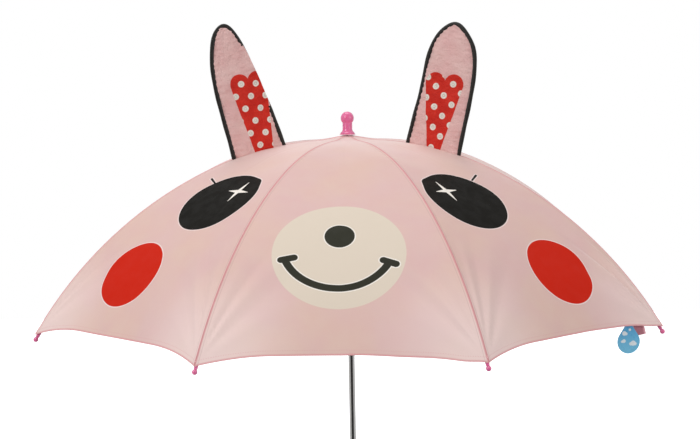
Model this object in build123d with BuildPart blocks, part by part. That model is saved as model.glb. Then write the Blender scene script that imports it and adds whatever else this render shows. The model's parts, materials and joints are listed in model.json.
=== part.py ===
"""Children's stick umbrella with animal ears.

Eight ribs hang from a notched crown at the top of a steel shaft.  Eight stretchers join
them to a runner that slides on the shaft.  The umbrella is modelled open.

+Z runs up the shaft, -Y is the front, and the origin is the middle of the handle's grip.
All sizes are in millimetres, and all angles in degrees.
"""

from build123d import *
from math import asin, atan2, cos, degrees, hypot, radians, sin, tan
import os

os.makedirs("parts", exist_ok=True)

# ---------------------------------------------------------------- driving dimensions

rib_count = 8

# Heights on the shaft
hinge_height = 532.0        # from the grip's middle up to the plane of the rib hinges
shaft_radius = 4.0
shaft_wall = 0.5

# Rib curve: an arc over the stretcher joint, then a tighter arc to the tip.
# Slopes are measured below the horizontal.
hinge_circle = 9.0          # radius of the wire that carries the ribs, and of the runner's wire
inner_arc_length = 200.0
outer_arc_length = 260.0
root_slope = -3.1
joint_slope = 26.5
tip_slope = 57.7
closed_arm_slope = 88.5     # slope of the line from rib hinge to stretcher joint when closed

# Rib and stretcher sections
rib_width = 2.8
rib_height = 2.4
channel_wall = 0.6
outer_rod_radius = 1.3
stretcher_width = 2.6
stretcher_height = 2.2
tongue_thickness = 1.4
tongue_gap = 0.3            # each side of a tongue in its slot or clip
eye_radius = 1.7
tongue_length = 3.8         # eye centre to the start of the full section, at a hub
tongue_lap = 3.0            # how far a tongue runs on inside the full section
channel_lead = 5.0          # end of a tongue to the start of the open channel
rod_gap = 1.2               # clip plates to the full section of what they hold
rod_flat = 2.3              # height of the outer rod's flattened end

# Clip that holds the stretcher below the rib
clip_drop = 5.5             # rib centre line to stretcher pin
clip_reach = 6.0            # end of the inner arc to the flex pin
clip_plate = 0.5
clip_round = 2.2            # plate edge around each pin
clip_grip = 9.0             # plate length along the rib
flex_pin_radius = 0.6
stretcher_pin_radius = 0.8
pin_clearance = 0.05
cut_margin = 2.0            # how far a cut runs on past the faces that it opens

# Hubs
wire_radius = 0.55
wire_clearance = 0.1
hub_rim = 2.2               # hub edge beyond the wire circle
hub_round = 1.0
eye_clearance = 0.4
notch_height = 4.0          # above the hinge plane
neck_radius = 5.8
neck_gap = 0.5              # below the cloth
runner_sleeve_radius = 6.5
runner_bore_gap = 0.3
runner_length = 40.0        # wire circle to the sleeve's lower end
runner_crown_depth = 6.0    # wire circle to the crown's underside

# Catches and stop
catch_width = 1.6
catch_length = 12.0
catch_lip = 2.4             # height of a catch's blunt nose
catch_reach = 2.4           # how far a catch stands out of the shaft
catch_root = 1.0            # inner end of a catch from the shaft's axis
catch_gap = 0.3
catch_window_gap = 0.5
catch_window_offset = 14.0  # runner wire circle down to its catch window
stop_pin_radius = 0.75
stop_pin_reach = 1.0
stop_gap = 0.35

# Canopy
fabric_lift = 2.6           # rib centre line to the underside of the cloth
fabric_thickness = 0.8
panel_gap = 0.3
tent_foot = 41.0            # radius at which the cloth leaves the ribs for the peak
peak_height = 9.1
peak_hole_gap = 0.6         # shaft to the edge of the hole in the cloth at the peak
hem_depth = 6.7             # how far the hem's middle sits inside the line between its corners
hem_straight = 140.0        # straight middle of the hem

# Finial
washer_radius = 10.0
washer_thickness = 1.0
washer_gap = 0.35
finial_length = 28.5
finial_flare_radius = 9.2
finial_flare_height = 1.5
finial_flare_taper = 4.0
finial_neck_radius = 6.5
finial_neck_taper = 0.6     # how much thinner the neck is below the ball
finial_ball_radius = 8.4
finial_bore_depth = 13.0

# Rib tips
tip_start = 0.5             # beyond the corner of the cloth
tip_bore = 5.0
tip_sleeve_radius = 2.2
tip_neck_radius = 1.75
tip_ball_radius = 3.0
tip_taper = 2.0             # length of the step from sleeve to neck
tip_length = 11.0
tip_clearance = 0.1
tip_seat_gap = 0.02         # rod end to the bottom of its socket

# Ears, drawn on the plane of the second rib from the front on each side
ear_pad_thickness = 3.0
binding_width = 5.0
binding_thickness = 4.4
ear_gap = 0.35

# Closing strap and swing tag, on the hem of the front right panel
strap_width = 20.0
strap_drop = 15.5
strap_thickness = 2.0
strap_place = 118.0         # along the hem from the panel's middle
strap_inset = 1.0           # behind the hem
strap_lowering = 1.0        # top edge below the hem
loop_radius = 4.5
loop_wire = 0.4
loop_hole_radius = 1.0
loop_hole_side = 2.5        # hole centre to the strap's side edge
loop_hole_drop = 4.0        # hole centre below the strap's top edge
tag_width = 28.0
tag_height = 37.0
tag_thickness = 0.6
tag_eye_radius = 1.2
tag_top_round = 2.8
tag_turn = 15.0             # azimuth that the tag faces

# Handle
grip_radius = 7.5
grip_length = 62.0
hook_radius = 24.0
hook_leg = 14.0
handle_bore_depth = 40.0
handle_round = 2.0
collar_height = 9.0
collar_top_radius = 5.4
collar_foot = 2.0           # height of the collar's straight foot

# ---------------------------------------------------------------- worked-out geometry

rib_step = 360.0 / rib_count
half_step = rib_step / 2
gore_cos = cos(radians(half_step))
slot_width = tongue_thickness + 2 * tongue_gap


def along(slope):
    """Unit direction of a line that falls outwards at this slope."""
    return Vector(cos(radians(slope)), -sin(radians(slope)))


def below(slope):
    """Unit direction square to such a line, on its lower side."""
    return Vector(-sin(radians(slope)), -cos(radians(slope)))


def arc_radius(length, slope_a, slope_b):
    return length / radians(slope_b - slope_a)


inner_radius = arc_radius(inner_arc_length, root_slope, joint_slope)
outer_radius = arc_radius(outer_arc_length, joint_slope, tip_slope)
rib_hinge = Vector(hinge_circle, 0)
inner_centre = rib_hinge + below(root_slope) * inner_radius
inner_end = inner_centre - below(joint_slope) * inner_radius
stretcher_joint = inner_end + below(joint_slope) * clip_drop
flex_pin = inner_end + along(joint_slope) * clip_reach
outer_centre = flex_pin + below(joint_slope) * outer_radius
corner = outer_centre - below(tip_slope) * outer_radius

arm = stretcher_joint - rib_hinge
arm_length = hypot(arm.X, arm.Y)
open_arm_slope = degrees(atan2(-arm.Y, arm.X))
open_runner_drop = 2 * arm_length * sin(radians(open_arm_slope))
closed_runner_drop = 2 * arm_length * sin(radians(closed_arm_slope))


def radial(azimuth):
    """Outward direction at an azimuth counted from the front, towards +X."""
    return Vector(sin(radians(azimuth)), -cos(radians(azimuth)), 0)


def sideways(azimuth):
    """Horizontal direction square to radial(azimuth); the rib hinges turn about it."""
    return Vector(cos(radians(azimuth)), sin(radians(azimuth)), 0)


def rib_azimuth(number):
    return half_step + rib_step * (number - 1)


def panel_azimuth(number):
    return rib_step * number


def upright(azimuth):
    """Upright plane through the shaft: x outwards, y up, from the hinge plane."""
    return Plane(
        origin=(0, 0, hinge_height), x_dir=radial(azimuth), z_dir=-sideways(azimuth)
    )


def level(height, azimuth=90.0):
    """Level plane at a height over the hinge plane, with x outwards at the azimuth."""
    return Plane(
        origin=(0, 0, hinge_height + height), x_dir=radial(azimuth), z_dir=(0, 0, 1)
    )


def inner_point(slope, lift=0.0):
    """Point of the inner arc with this slope, lifted square to the rib."""
    return inner_centre - below(slope) * (inner_radius + lift)


def outer_point(slope, lift=0.0):
    return outer_centre - below(slope) * (outer_radius + lift)


def arc_band(point, slope_a, slope_b, low, high):
    """Closed outline between two lifts of one of the rib's arcs."""
    middle = (slope_a + slope_b) / 2
    ThreePointArc(point(slope_a, low), point(middle, low), point(slope_b, low))
    Line(point(slope_b, low), point(slope_b, high))
    ThreePointArc(point(slope_b, high), point(middle, high), point(slope_a, high))
    Line(point(slope_a, high), point(slope_a, low))


def cloth_points(lift):
    """Rib-plane points of the cloth at a lift over the rib, from tent foot to corner."""
    foot_slope = degrees(asin((tent_foot - inner_centre.X) / (inner_radius + lift)))
    slopes = [foot_slope + (joint_slope - foot_slope) * step / 4 for step in range(5)]
    points = [inner_point(slope, lift) for slope in slopes]
    slopes = [joint_slope + (tip_slope - joint_slope) * step / 5 for step in range(1, 6)]
    return points + [outer_point(slope, lift) for slope in slopes]


def cloth_height(radius, lift):
    """Height of the cloth over a rib at this radius, counted from the hinge plane."""
    points = cloth_points(lift)
    for near, far in zip(points, points[1:]):
        if near.X <= radius <= far.X:
            return near.Y + (far.Y - near.Y) * (radius - near.X) / (far.X - near.X)
    raise ValueError(f"no cloth at radius {radius}")


tent = cloth_points(fabric_lift)[0]
neck_top = peak_height - neck_radius * (peak_height - tent.Y) / (tent.X * gore_cos) - neck_gap

# ---------------------------------------------------------------- shaft and its fittings

finial_base = peak_height + fabric_thickness + washer_gap + washer_thickness
shaft_top = hinge_height + finial_base + finial_bore_depth
shaft_bottom = grip_length / 2 - handle_bore_depth
top_catch_top = -open_runner_drop - runner_length - catch_window_gap
bottom_catch_top = -closed_runner_drop - catch_window_offset - catch_window_gap
stop_pin_height = -open_runner_drop + hub_rim + stop_gap + stop_pin_radius


with BuildPart() as shaft:
    with BuildSketch(Plane.XY.offset(shaft_bottom)):
        Circle(shaft_radius)
        Circle(shaft_radius - shaft_wall, mode=Mode.SUBTRACT)
    extrude(amount=shaft_top - shaft_bottom)
    with BuildSketch(Plane.XZ.offset(shaft_radius / 2)):
        for catch_top in (top_catch_top, bottom_catch_top):
            with Locations((0, hinge_height + catch_top - catch_length / 2)):
                Rectangle(catch_width + 2 * catch_gap, catch_length + 2 * catch_gap)
    extrude(amount=shaft_radius, mode=Mode.SUBTRACT)
    with BuildSketch(Plane.YZ):
        with Locations((0, hinge_height + stop_pin_height)):
            Circle(stop_pin_radius)
    extrude(amount=2 * shaft_radius, both=True, mode=Mode.SUBTRACT)
shaft.part.label = "shaft"
export_step(shaft.part, "parts/shaft.step")

with BuildPart() as stop_pin:
    with BuildSketch(Plane.YZ):
        with Locations((0, hinge_height + stop_pin_height)):
            Circle(stop_pin_radius)
    extrude(amount=shaft_radius + stop_pin_reach, both=True)
    fillet(stop_pin.edges(), stop_pin_radius / 4)
stop_pin.part.label = "stop_pin"
export_step(stop_pin.part, "parts/stop_pin.step")

for catch_name, catch_top in (
    ("top_catch", top_catch_top),
    ("bottom_catch", bottom_catch_top),
):
    with BuildPart() as catch:
        with BuildSketch(Plane.YZ):
            top_edge = hinge_height + catch_top
            nose = -shaft_radius - catch_reach
            with BuildLine():
                Polyline(
                    (-catch_root, top_edge),
                    (nose, top_edge),
                    (nose, top_edge - catch_lip),
                    (-shaft_radius, top_edge - catch_length),
                    (-catch_root, top_edge - catch_length),
                    close=True,
                )
            make_face()
        extrude(amount=catch_width / 2, both=True)
    catch.part.label = catch_name
    export_step(catch.part, f"parts/{catch_name}.step")

# ---------------------------------------------------------------- hubs

eye_hole_radius = wire_radius + wire_clearance
hub_radius = hinge_circle + hub_rim
slot_root = hinge_circle - eye_radius - eye_clearance
slot_length = hub_radius - slot_root + cut_margin


with BuildPart() as top_notch:
    with BuildSketch(level(-hub_rim)):
        Circle(hub_radius)
    extrude(amount=hub_rim + notch_height)
    fillet(top_notch.faces().sort_by(Axis.Z)[-1].edges(), hub_round)
    with BuildSketch(level(notch_height)):
        Circle(neck_radius)
    extrude(amount=neck_top - notch_height)
    with BuildSketch(level(-hub_rim)):
        with PolarLocations(slot_root + slot_length / 2, rib_count, start_angle=half_step):
            Rectangle(slot_length, slot_width)
    extrude(amount=hub_rim + eye_radius + eye_clearance, mode=Mode.SUBTRACT)
    with BuildSketch(level(0)):
        Circle(hub_radius + cut_margin)
        Circle(hinge_circle - wire_radius, mode=Mode.SUBTRACT)
    extrude(amount=wire_radius + pin_clearance, both=True, mode=Mode.SUBTRACT)
    with BuildSketch(level(-hub_rim)):
        Circle(shaft_radius)
    extrude(amount=hub_rim + neck_top, mode=Mode.SUBTRACT)
top_notch.part.label = "top_notch"
export_step(top_notch.part, "parts/top_notch.step")

with BuildPart() as runner:
    with BuildSketch(level(-open_runner_drop - runner_crown_depth)):
        Circle(hub_radius)
    extrude(amount=runner_crown_depth + hub_rim)
    fillet(runner.faces().sort_by(Axis.Z)[0].edges(), hub_round)
    with BuildSketch(level(-open_runner_drop - runner_length)):
        Circle(runner_sleeve_radius)
    extrude(amount=runner_length - runner_crown_depth)
    with BuildSketch(level(-open_runner_drop - eye_radius - eye_clearance)):
        with PolarLocations(slot_root + slot_length / 2, rib_count, start_angle=half_step):
            Rectangle(slot_length, slot_width)
    extrude(amount=eye_radius + eye_clearance + hub_rim, mode=Mode.SUBTRACT)
    with BuildSketch(level(-open_runner_drop)):
        Circle(hub_radius + cut_margin)
        Circle(hinge_circle - wire_radius, mode=Mode.SUBTRACT)
    extrude(amount=wire_radius + pin_clearance, both=True, mode=Mode.SUBTRACT)
    with BuildSketch(level(-open_runner_drop - runner_length)):
        Circle(shaft_radius + runner_bore_gap)
    extrude(amount=runner_length + hub_rim, mode=Mode.SUBTRACT)
    with BuildSketch(Plane.XZ):
        window_top = hinge_height - open_runner_drop - catch_window_offset
        window_length = catch_length + 2 * catch_window_gap
        with Locations((0, window_top - window_length / 2)):
            Rectangle(catch_width + 2 * catch_window_gap, window_length)
    extrude(amount=2 * runner_sleeve_radius, mode=Mode.SUBTRACT)
runner.part.label = "runner"
export_step(runner.part, "parts/runner.step")

for wire_name, wire_height in (("notch_wire", 0.0), ("runner_wire", -open_runner_drop)):
    with BuildPart() as wire:
        with BuildSketch(upright(90)):
            with Locations((hinge_circle, wire_height)):
                Circle(wire_radius)
        revolve(axis=Axis.Z)
    wire.part.label = wire_name
    export_step(wire.part, f"parts/{wire_name}.step")

# ---------------------------------------------------------------- ribs

channel_start_arc = tongue_length + tongue_lap + channel_lead
channel_start = root_slope + (joint_slope - root_slope) * channel_start_arc / inner_arc_length
channel_end = joint_slope - (joint_slope - root_slope) * clip_grip / inner_arc_length
section_start = root_slope + (joint_slope - root_slope) * tongue_length / inner_arc_length
tongue_end = along(root_slope) * (tongue_length + tongue_lap)
clip_tail = inner_end - along(joint_slope) * clip_grip
rod_lead = flex_pin + along(joint_slope) * (clip_round + rod_gap + tongue_lap)
clip_opening = 3 * clip_drop    # reaches past the clip's plates on every side


def bar_outline(start, end, height):
    """Straight bar outline between two points."""
    run = end - start
    side = Vector(-run.Y, run.X).normalized() * height / 2
    Polyline(start + side, end + side, end - side, start - side, close=True)


for number in range(1, rib_count + 1):
    plane = upright(rib_azimuth(number))

    with BuildPart() as rib_inner:
        with BuildSketch(plane):
            with BuildLine():
                arc_band(inner_point, section_start, joint_slope, -rib_height / 2, rib_height / 2)
            make_face()
        extrude(amount=rib_width / 2, both=True)
        with BuildSketch(plane):
            with BuildLine():
                arc_band(
                    inner_point, channel_start, channel_end,
                    -rib_height, rib_height / 2 - channel_wall,
                )
            make_face()
        extrude(amount=rib_width / 2 - channel_wall, both=True, mode=Mode.SUBTRACT)
        with BuildSketch(plane):
            with Locations(rib_hinge):
                Circle(eye_radius)
            with BuildLine():
                bar_outline(rib_hinge, rib_hinge + tongue_end, rib_height)
            make_face()
            with Locations(rib_hinge):
                Circle(eye_hole_radius, mode=Mode.SUBTRACT)
        extrude(amount=tongue_thickness / 2, both=True)
        with BuildSketch(plane):
            for place in (stretcher_joint, flex_pin):
                with Locations(place):
                    Circle(clip_round)
            with Locations(clip_tail):
                Circle(rib_height / 2)
            make_hull()
        extrude(amount=slot_width / 2 + clip_plate, both=True)
        with BuildSketch(plane):
            with BuildLine():
                bar_outline(
                    inner_end + along(joint_slope) * 2 * clip_reach, inner_end, 2 * clip_opening
                )
            make_face()
            with BuildLine():
                bar_outline(
                    inner_end + below(joint_slope) * rib_height / 2,
                    inner_end + below(joint_slope) * clip_opening,
                    2 * clip_opening,
                )
            make_face()
        extrude(amount=slot_width / 2, both=True, mode=Mode.SUBTRACT)
        with BuildSketch(plane):
            with Locations(stretcher_joint):
                Circle(stretcher_pin_radius)
            with Locations(flex_pin):
                Circle(flex_pin_radius)
        extrude(amount=slot_width / 2 + clip_plate, both=True)
    rib_inner.part.label = f"rib_inner_{number}"
    export_step(rib_inner.part, f"parts/rib_inner_{number}.step")

    with BuildPart() as rib_outer:
        tip_turn = degrees((tip_start + tip_bore - tip_seat_gap) / outer_radius)
        lead_turn = degrees((clip_round + rod_gap) / outer_radius)
        start_slope = joint_slope + lead_turn
        end_slope = tip_slope + tip_turn
        path_slopes = (start_slope, (start_slope + end_slope) / 2, end_slope)
        with BuildLine() as rod_path:
            ThreePointArc(*[plane.from_local_coords(outer_point(slope)) for slope in path_slopes])
        with BuildSketch(Plane(origin=rod_path.line @ 0, z_dir=rod_path.line % 0)):
            Circle(outer_rod_radius)
        sweep()
        with BuildSketch(plane):
            with Locations(flex_pin):
                Circle(eye_radius)
            with BuildLine():
                bar_outline(flex_pin, rod_lead, rod_flat)
            make_face()
            with Locations(flex_pin):
                Circle(flex_pin_radius + pin_clearance, mode=Mode.SUBTRACT)
        extrude(amount=tongue_thickness / 2, both=True)
    rib_outer.part.label = f"rib_outer_{number}"
    export_step(rib_outer.part, f"parts/rib_outer_{number}.step")

    tip_direction = plane.from_local_coords(along(tip_slope)) - plane.origin
    tip_plane = Plane(
        origin=plane.from_local_coords(outer_point(tip_slope)),
        x_dir=tip_direction,
        z_dir=plane.z_dir,
    )
    ball_centre = tip_start + tip_length - tip_ball_radius
    with BuildPart() as rib_tip:
        with BuildSketch(tip_plane):
            with BuildLine():
                Polyline(
                    (tip_start, 0),
                    (tip_start, tip_sleeve_radius),
                    (tip_start + tip_bore - tip_taper / 2, tip_sleeve_radius),
                    (tip_start + tip_bore + tip_taper / 2, tip_neck_radius),
                    (ball_centre, tip_neck_radius),
                    (ball_centre, 0),
                    close=True,
                )
            make_face()
        revolve(axis=Axis(tip_plane.origin, tip_direction))
        with Locations(tip_plane):
            with Locations((ball_centre, 0, 0)):
                Sphere(tip_ball_radius)
        with BuildSketch(Plane(origin=tip_plane.origin, z_dir=tip_direction)):
            Circle(outer_rod_radius + tip_clearance)
        extrude(amount=tip_start + tip_bore, mode=Mode.SUBTRACT)
    rib_tip.part.label = f"rib_tip_{number}"
    export_step(rib_tip.part, f"parts/rib_tip_{number}.step")

    runner_eye = Vector(hinge_circle, -open_runner_drop)
    stretcher_direction = plane.from_local_coords(stretcher_joint - runner_eye) - plane.origin
    stretcher_plane = Plane(
        origin=plane.from_local_coords(runner_eye),
        x_dir=stretcher_direction,
        z_dir=plane.z_dir,
    )
    far_tongue = hypot(clip_drop, clip_reach) + clip_round + rod_gap
    stretcher_lap = tongue_lap + channel_lead
    with BuildPart() as stretcher:
        with BuildSketch(stretcher_plane):
            with BuildLine():
                bar_outline(
                    Vector(tongue_length, 0),
                    Vector(arm_length - far_tongue, 0),
                    stretcher_height,
                )
            make_face()
        extrude(amount=stretcher_width / 2, both=True)
        with BuildSketch(stretcher_plane):
            with BuildLine():
                bar_outline(
                    Vector(tongue_length + stretcher_lap, -channel_wall),
                    Vector(arm_length - far_tongue - stretcher_lap, -channel_wall),
                    stretcher_height,
                )
            make_face()
        extrude(amount=stretcher_width / 2 - channel_wall, both=True, mode=Mode.SUBTRACT)
        with BuildSketch(stretcher_plane):
            with Locations((0, 0), (arm_length, 0)):
                Circle(eye_radius)
            with BuildLine():
                bar_outline(
                    Vector(0, 0),
                    Vector(tongue_length + tongue_lap, 0),
                    stretcher_height,
                )
            make_face()
            with BuildLine():
                bar_outline(
                    Vector(arm_length - far_tongue - tongue_lap, 0),
                    Vector(arm_length, 0),
                    stretcher_height,
                )
            make_face()
            Circle(eye_hole_radius, mode=Mode.SUBTRACT)
            with Locations((arm_length, 0)):
                Circle(stretcher_pin_radius + pin_clearance, mode=Mode.SUBTRACT)
        extrude(amount=tongue_thickness / 2, both=True)
    stretcher.part.label = f"stretcher_{number}"
    export_step(stretcher.part, f"parts/stretcher_{number}.step")

# ---------------------------------------------------------------- canopy


cloth_corner = outer_point(tip_slope, fabric_lift)
corner_reach = cloth_corner.X * gore_cos
seam_offset = panel_gap / 2 / sin(radians(half_step))
corner_side = (corner_reach - seam_offset) * tan(radians(half_step))
hem_middle = corner_reach - hem_depth
hem_bend = corner_side - hem_straight / 2
hem_radius = (hem_bend**2 + hem_depth**2) / (2 * hem_depth)


def gore_profile(lift):
    """The cloth's profile along a panel's middle: a straight peak, then the ribs' curve."""
    points = [(point.X * gore_cos, point.Y) for point in cloth_points(lift)]
    peak = (0, peak_height + lift - fabric_lift)
    Line(peak, points[0])
    Spline(points)
    return peak, points[-1]


def hem_side(side):
    """Rounded end of a hem, from its straight middle to the panel's corner."""
    turn = atan2(hem_bend, hem_radius - hem_depth)
    middle = (
        hem_middle + hem_radius * (1 - cos(turn / 2)),
        side * (hem_straight / 2 + hem_radius * sin(turn / 2)),
    )
    end = (corner_reach, side * corner_side)
    ThreePointArc((hem_middle, side * hem_straight / 2), middle, end)
    Line(end, (seam_offset, 0))


for number in range(1, rib_count + 1):
    azimuth = panel_azimuth(number)
    with BuildPart() as canopy_panel:
        with BuildSketch(upright(azimuth)):
            with BuildLine():
                low_peak, low_hem = gore_profile(fabric_lift)
                high_peak, high_hem = gore_profile(fabric_lift + fabric_thickness)
                Line(low_peak, high_peak)
                Line(low_hem, high_hem)
            make_face()
        extrude(amount=corner_side, both=True)
        with BuildSketch(level(cloth_corner.Y - cut_margin, azimuth)):
            with BuildLine():
                hem_side(-1)
                hem_side(1)
                Line((hem_middle, -hem_straight / 2), (hem_middle, hem_straight / 2))
            make_face()
            Circle(shaft_radius + peak_hole_gap, mode=Mode.SUBTRACT)
        extrude(
            amount=peak_height + fabric_thickness - cloth_corner.Y + 2 * cut_margin,
            mode=Mode.INTERSECT,
        )
    canopy_panel.part.label = f"canopy_panel_{number}"
    export_step(canopy_panel.part, f"parts/canopy_panel_{number}.step")

# ---------------------------------------------------------------- crown washer and finial

with BuildPart() as crown_washer:
    with BuildSketch(level(finial_base - washer_thickness)):
        Circle(washer_radius)
        Circle(shaft_radius, mode=Mode.SUBTRACT)
    extrude(amount=washer_thickness)
crown_washer.part.label = "crown_washer"
export_step(crown_washer.part, "parts/crown_washer.step")

with BuildPart() as finial:
    ball_height = finial_base + finial_length - finial_ball_radius
    with BuildSketch(upright(90)):
        with BuildLine():
            Polyline(
                (0, finial_base),
                (finial_flare_radius, finial_base),
                (finial_flare_radius, finial_base + finial_flare_height),
                (finial_neck_radius, finial_base + finial_flare_height + finial_flare_taper),
                (finial_neck_radius - finial_neck_taper, ball_height),
                (0, ball_height),
                close=True,
            )
        make_face()
        with Locations((0, ball_height)):
            Circle(finial_ball_radius)
        with Locations((-finial_ball_radius, ball_height)):
            Rectangle(
                2 * finial_ball_radius, 3 * finial_ball_radius, mode=Mode.SUBTRACT
            )
    revolve(axis=Axis.Z)
    with BuildSketch(level(finial_base)):
        Circle(shaft_radius)
    extrude(amount=finial_bore_depth, mode=Mode.SUBTRACT)
finial.part.label = "finial"
export_step(finial.part, "parts/finial.step")

# ---------------------------------------------------------------- ears

ear_rib = 2
ear_right_inner_side = [(76, -20), (91, 39), (101, 73), (108, 104), (117, 126), (131, 142)]
ear_right_outer_side = [
    (149, 149), (163, 137), (172, 121), (175, 101), (172, 71), (166, 42), (150, -36)
]
ear_left_inner_side = [(76, -20), (93, 28), (109, 69), (122, 99), (136, 127), (147, 143)]
ear_left_outer_side = [
    (161, 152), (171, 145), (177, 130), (179, 107), (173, 62), (164, 26), (150, -36)
]
ears = (
    ("ear_right", ear_rib, ear_right_inner_side + ear_right_outer_side),
    ("ear_left", rib_count + 1 - ear_rib, ear_left_inner_side + ear_left_outer_side),
)

trim_points = [
    (point.X, point.Y + ear_gap) for point in cloth_points(fabric_lift + fabric_thickness)
]
trim_floor = trim_points[-1][1]

with BuildSketch() as under_cloth:
    with BuildLine():
        Spline(trim_points)
        Polyline(trim_points[0], (trim_points[0][0], trim_floor), trim_points[-1])
    make_face()

for ear_name, number, ear_points in ears:
    plane = upright(rib_azimuth(number))
    with BuildSketch() as ear_face:
        with BuildLine():
            rim = Spline(ear_points)
            Line(ear_points[0], ear_points[-1])
        make_face()

    core_points = []
    for step in range(1, 2 * len(ear_points)):
        place = step / (2 * len(ear_points))
        inward = (rim % place).rotate(Axis.Z, -90)
        core_points.append(rim @ place + inward * binding_width)

    with BuildSketch() as ear_core:
        with BuildLine():
            Spline(core_points)
            Line(core_points[0], core_points[-1])
        make_face()

    with BuildPart() as ear:
        with BuildSketch(plane):
            add(ear_core.sketch)
            add(under_cloth.sketch, mode=Mode.SUBTRACT)
        extrude(amount=ear_pad_thickness / 2, both=True)
    ear.part.label = ear_name
    export_step(ear.part, f"parts/{ear_name}.step")

    with BuildPart() as ear_binding:
        with BuildSketch(plane):
            add(ear_face.sketch)
            add(ear_core.sketch, mode=Mode.SUBTRACT)
            add(under_cloth.sketch, mode=Mode.SUBTRACT)
        extrude(amount=binding_thickness / 2, both=True)
    ear_binding.part.label = f"{ear_name}_binding"
    export_step(ear_binding.part, f"parts/{ear_name}_binding.step")

# ---------------------------------------------------------------- strap, loop and tag

tag_panel = 1
hem_out = radial(panel_azimuth(tag_panel))
hem_along = sideways(panel_azimuth(tag_panel))
hem_drop = cloth_height(hem_middle / gore_cos, fabric_lift)
strap_top = hem_drop - strap_lowering
strap_centre = hem_out * (hem_middle - strap_inset) + hem_along * strap_place

with BuildPart() as closure_strap:
    strap_plane = Plane(
        origin=strap_centre + Vector(0, 0, hinge_height + strap_top),
        x_dir=hem_along,
        z_dir=hem_out,
    )
    loop_hole = (loop_hole_side - strap_width / 2, -loop_hole_drop)
    with BuildSketch(strap_plane):
        with Locations((0, -strap_drop / 2)):
            Rectangle(strap_width, strap_drop)
        with Locations(loop_hole):
            Circle(loop_hole_radius, mode=Mode.SUBTRACT)
    extrude(amount=strap_thickness / 2, both=True)
closure_strap.part.label = "closure_strap"
export_step(closure_strap.part, "parts/closure_strap.step")

loop_centre = strap_plane.from_local_coords((loop_hole[0] - loop_radius, loop_hole[1], 0))

with BuildPart() as tag_loop:
    with BuildSketch(Plane(origin=loop_centre, x_dir=hem_along, z_dir=hem_out)):
        with Locations((loop_radius, 0)):
            Circle(loop_wire)
    revolve(axis=Axis(loop_centre, (0, 0, 1)))
tag_loop.part.label = "tag_loop"
export_step(tag_loop.part, "parts/tag_loop.step")

tag_eye = loop_centre - hem_along * loop_radius
with BuildPart() as swing_tag:
    with BuildSketch(Plane(origin=tag_eye, x_dir=sideways(tag_turn), z_dir=radial(tag_turn))):
        with Locations((0, tag_top_round + tag_width / 2 - tag_height)):
            Circle(tag_width / 2)
        Circle(tag_top_round)
        make_hull()
        Circle(tag_eye_radius, mode=Mode.SUBTRACT)
    extrude(amount=tag_thickness / 2, both=True)
swing_tag.part.label = "swing_tag"
export_step(swing_tag.part, "parts/swing_tag.step")

# ---------------------------------------------------------------- handle

with BuildPart() as handle:
    grip_top = (0, 0, grip_length / 2)
    grip_end = (0, 0, -grip_length / 2)
    hook_end = (2 * hook_radius, 0, -grip_length / 2)
    leg_end = (2 * hook_radius, 0, -grip_length / 2 + hook_leg)
    with BuildLine() as hook_path:
        Line(grip_top, grip_end)
        ThreePointArc(grip_end, (hook_radius, 0, -grip_length / 2 - hook_radius), hook_end)
        Line(hook_end, leg_end)
    with BuildSketch(Plane.XY.offset(grip_length / 2)):
        Circle(grip_radius)
    sweep(path=hook_path.line)
    with Locations(leg_end):
        Sphere(grip_radius)
    fillet(handle.faces().sort_by(Axis.Z)[-1].edges(), handle_round)
    with BuildSketch(Plane.XY.offset(grip_length / 2)):
        Circle(shaft_radius)
    extrude(amount=-handle_bore_depth, mode=Mode.SUBTRACT)
handle.part.label = "handle"
export_step(handle.part, "parts/handle.step")

with BuildPart() as handle_collar:
    with BuildSketch(Plane.XZ):
        with BuildLine():
            Polyline(
                (shaft_radius, grip_length / 2),
                (grip_radius - handle_round, grip_length / 2),
                (grip_radius - handle_round, grip_length / 2 + collar_foot),
                (collar_top_radius, grip_length / 2 + collar_height),
                (shaft_radius, grip_length / 2 + collar_height),
                close=True,
            )
        make_face()
    revolve(axis=Axis.Z)
handle_collar.part.label = "handle_collar"
export_step(handle_collar.part, "parts/handle_collar.step")
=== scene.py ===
"""Looks of a children's stick umbrella with a rabbit's face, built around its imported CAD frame.

Everything is in metres in the row frame: +Z runs up the shaft and -Y is the front.  A gore is
one of the canopy's eight triangles.  Its places are (across, down): across is measured from the
gore's middle line, and down along the cloth from the peak, as on the flat cut.
"""

import json
import math

import bmesh
import bpy
import numpy as np
from mathutils import Matrix, Vector, noise
from mathutils.bvhtree import BVHTree


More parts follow.
